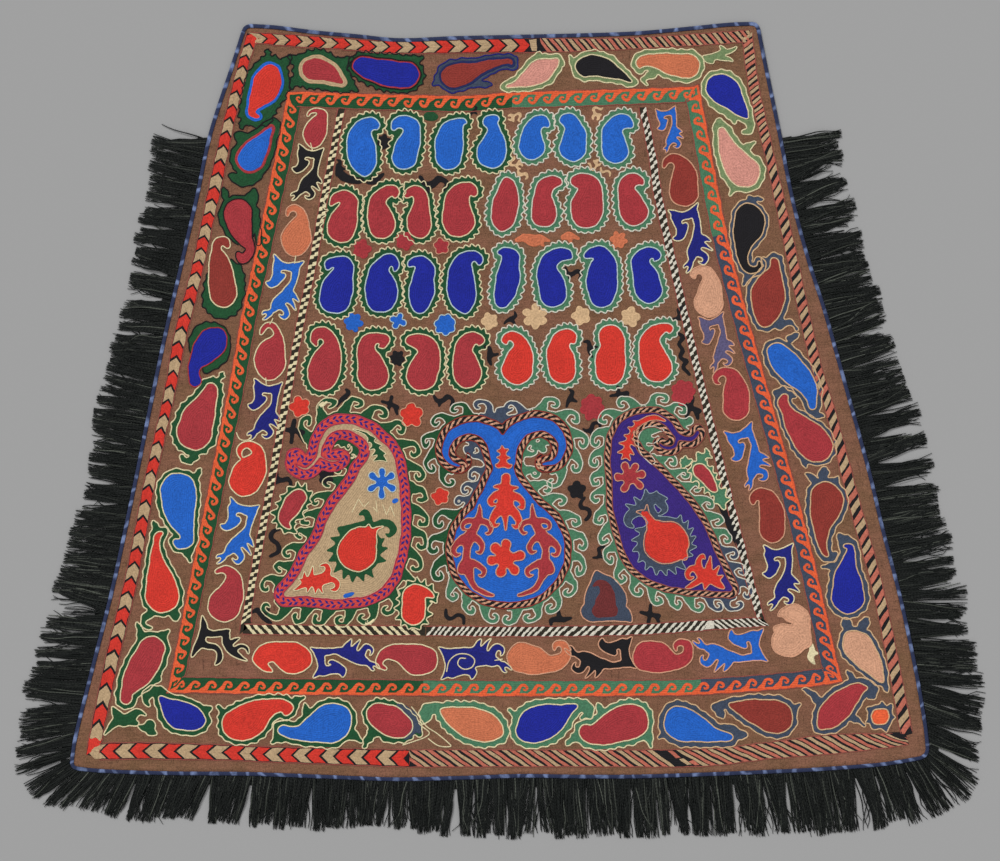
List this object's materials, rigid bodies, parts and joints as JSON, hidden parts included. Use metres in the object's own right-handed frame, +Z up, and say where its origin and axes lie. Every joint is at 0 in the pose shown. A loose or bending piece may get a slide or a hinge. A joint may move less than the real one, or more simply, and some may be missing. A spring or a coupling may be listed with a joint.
{
  "type": "saddle cover",
  "caption": "Tapered embroidered cloth laid over a saddle and a horse's back, narrow end forward, bound at its edges and fringed with yarn along both sides and the wide end.",
  "frame": {"origin": "on the surface the cover lies on, under the middle of its overall size, fringe and all", "axes": "+Z up, +Y from the wide end to the narrow end, +X to the right seen from above"},
  "size_m": [1.4632, 1.225, 0.0049],
  "materials": {
    "ground": "brown plain-weave wool, matt",
    "binding": "navy woven band with slanting light-blue stripes",
    "fringe": "green-black wool yarn with a low sheen",
    "embroidery": "rows of coloured chain stitch with a soft silk sheen"
  },
  "bodies": {
    "root": {"ground_cloth": "ground", "binding_top": "binding", "binding_left": "binding", "binding_bottom": "binding", "binding_right": "binding", "fringe_left": "fringe", "fringe_bottom": "fringe", "fringe_right": "fringe"}
  },
  "joints": []
}
